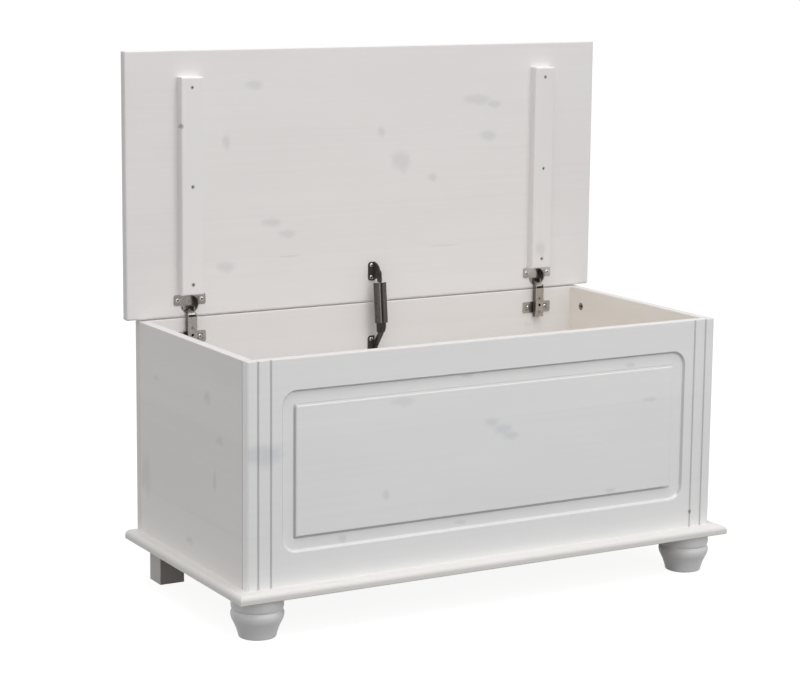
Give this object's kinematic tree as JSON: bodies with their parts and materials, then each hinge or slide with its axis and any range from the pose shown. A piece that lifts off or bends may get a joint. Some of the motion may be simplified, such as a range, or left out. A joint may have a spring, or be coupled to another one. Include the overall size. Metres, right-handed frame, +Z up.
{
  "type": "blanket chest",
  "caption": "Low wooden storage chest with a routed front panel, feet under a moulded base board, and a hinged lid held open by a telescoping stay.",
  "frame": {"origin": "middle of the chest at the floor, under its overall box", "axes": "+Z up, the front panel faces -Y, +X to the right seen from the front; the lid stands open at 90 degrees"},
  "size_m": [1.01, 0.4856, 0.9685],
  "materials": {
    "glazed_pine": "satin white glaze over pine, knots showing faintly",
    "glazed_lid": "satin white glaze over edge-glued pine",
    "glazed_feet": "satin white glaze, turned",
    "beech": "bare",
    "zinc_plate": "zinc plated",
    "nickel_plate": "nickel plated, semi-bright",
    "cam_zinc": "die cast, plain",
    "stay_enamel": "dark grey-brown satin enamel",
    "stay_nylon": "dark grey"
  },
  "bodies": {
    "carcass": {"base_board": "glazed_pine", "front_panel": "glazed_pine", "back_panel": "glazed_pine", "side_panel_left": "glazed_pine", "side_panel_right": "glazed_pine", "foot_front_left": "glazed_feet", "foot_front_right": "glazed_feet", "foot_rear_left": "glazed_feet", "foot_rear_right": "glazed_feet", "foot_bolts": "zinc_plate", "base_screws": "zinc_plate", "cam_locks": "cam_zinc", "cam_bolts": "zinc_plate", "wood_dowels": "beech", "hinge_arm_left": "nickel_plate", "hinge_arm_right": "nickel_plate", "hinge_plate_left": "nickel_plate", "hinge_plate_right": "nickel_plate", "hinge_arm_pins": "nickel_plate", "hinge_arm_screws": "nickel_plate", "hinge_plate_screws": "nickel_plate", "stay_lower_bracket": "stay_enamel", "stay_guide_head": "stay_nylon", "stay_lower_screws": "zinc_plate"},
    "lid": {"lid_board": "glazed_lid", "batten_left": "glazed_lid", "batten_right": "glazed_lid", "batten_screws": "zinc_plate", "hinge_cup_left": "nickel_plate", "hinge_cup_right": "nickel_plate", "hinge_cup_screws": "nickel_plate", "stay_upper_bracket": "stay_enamel", "stay_upper_screws": "zinc_plate", "stay_rivet": "stay_enamel"},
    "outer_link_left": {"outer_link_left": "nickel_plate"},
    "outer_link_right": {"outer_link_right": "nickel_plate"},
    "inner_link_left": {"inner_link_left": "nickel_plate"},
    "inner_link_right": {"inner_link_right": "nickel_plate"},
    "stay": {"stay_arm": "stay_enamel", "stay_cover": "stay_enamel"}
  },
  "joints": [
    {"name": "lid_hinge", "type": "hinge", "parent": "carcass", "child": "lid", "pos_m": [0, 0.23325, 0.4895], "axis": [1, 0, 0], "range_deg": [0, 90]},
    {"name": "outer_link_left_pivot", "type": "hinge", "parent": "carcass", "child": "outer_link_left", "pos_m": [-0.38, 0.21525, 0.486], "axis": [1, 0, 0], "range_deg": [-10.4, 0]},
    {"name": "inner_link_left_pivot", "type": "hinge", "parent": "carcass", "child": "inner_link_left", "pos_m": [-0.38, 0.21905, 0.4823], "axis": [1, 0, 0], "range_deg": [-24.4, 0]},
    {"name": "outer_link_right_pivot", "type": "hinge", "parent": "carcass", "child": "outer_link_right", "pos_m": [0.38, 0.21525, 0.486], "axis": [1, 0, 0], "range_deg": [-10.4, 0]},
    {"name": "inner_link_right_pivot", "type": "hinge", "parent": "carcass", "child": "inner_link_right", "pos_m": [0.38, 0.21905, 0.4823], "axis": [1, 0, 0], "range_deg": [-24.4, 0]},
    {"name": "stay_pivot", "type": "hinge", "parent": "lid", "child": "stay", "pos_m": [0.0103, 0.20775, 0.5368], "axis": [1, 0, 0], "range_deg": [-62.9, 0]}
  ],
  "couplings": [
    {"joint": "outer_link_left_pivot", "follows": "lid_hinge", "ratio": -0.115},
    {"joint": "inner_link_left_pivot", "follows": "lid_hinge", "ratio": -0.27},
    {"joint": "outer_link_right_pivot", "follows": "lid_hinge", "ratio": -0.115},
    {"joint": "inner_link_right_pivot", "follows": "lid_hinge", "ratio": -0.27},
    {"joint": "stay_pivot", "follows": "lid_hinge", "ratio": -0.698}
  ]
}
